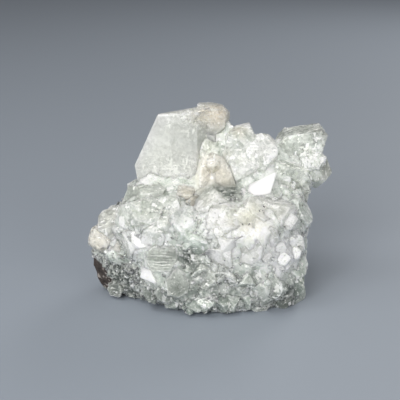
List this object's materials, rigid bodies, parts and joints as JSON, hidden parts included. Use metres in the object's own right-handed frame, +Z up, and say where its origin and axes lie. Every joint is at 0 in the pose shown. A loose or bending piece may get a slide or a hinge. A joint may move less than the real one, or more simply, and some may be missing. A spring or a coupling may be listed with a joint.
{
  "type": "apophyllite crystal cluster",
  "caption": "Palm-sized cluster of pale, blocky apophyllite crystals grown on a crusted piece of dark basalt, resting on its flat broken underside.",
  "frame": {"origin": "on the surface the specimen rests on, under the middle of its bounding box", "axes": "+Z up; +X along the specimen's longest extent, to the right when it is seen from its fullest side; +Y away from that side, along the shortest extent"},
  "size_m": [0.0762, 0.047, 0.0596],
  "materials": {
    "clear_crystal": "vitreous, clear with white inner flaws",
    "milky_crystal": "vitreous to pearly, milky-translucent",
    "frosted_crystal": "etched and frosted",
    "peach_crystal": "vitreous, faintly peach-coloured",
    "green_crystal": "vitreous, faintly green, translucent",
    "matrix_rock": "rough dark basalt under a grey sparkling crust"
  },
  "bodies": {
    "root": {"matrix": "matrix_rock", "large_left_crystal": "milky_crystal", "cream_crystals": "peach_crystal", "middle_crystal_pair": "milky_crystal", "bright_tabular_crystal": "clear_crystal", "right_crystal_group": "clear_crystal", "ridge_crystals": "peach_crystal", "left_shoulder_crystals": "clear_crystal", "left_outer_crystal": "frosted_crystal", "peach_knob": "peach_crystal", "left_end_crystal": "clear_crystal", "left_front_crystals": "milky_crystal", "front_centre_crystals": "green_crystal", "front_right_mass": "milky_crystal", "right_round_crystals": "clear_crystal", "right_edge_crystals": "green_crystal", "right_column_crystals": "green_crystal", "lower_right_crystals": "milky_crystal", "striated_crystal": "clear_crystal", "white_chip_crystal": "milky_crystal", "lower_left_crystals": "green_crystal", "lower_centre_crystals": "clear_crystal", "front_foot_crystals": "green_crystal", "right_foot_crystals": "green_crystal", "left_foot_crystal": "frosted_crystal", "right_side_crystals": "milky_crystal", "left_side_crystals": "milky_crystal", "back_large_crystals": "milky_crystal", "back_middle_crystals": "clear_crystal", "back_right_crystals": "milky_crystal", "back_centre_crystals": "green_crystal", "back_left_crystals": "frosted_crystal", "back_low_right_crystals": "clear_crystal", "back_foot_crystals": "frosted_crystal"}
  },
  "joints": []
}
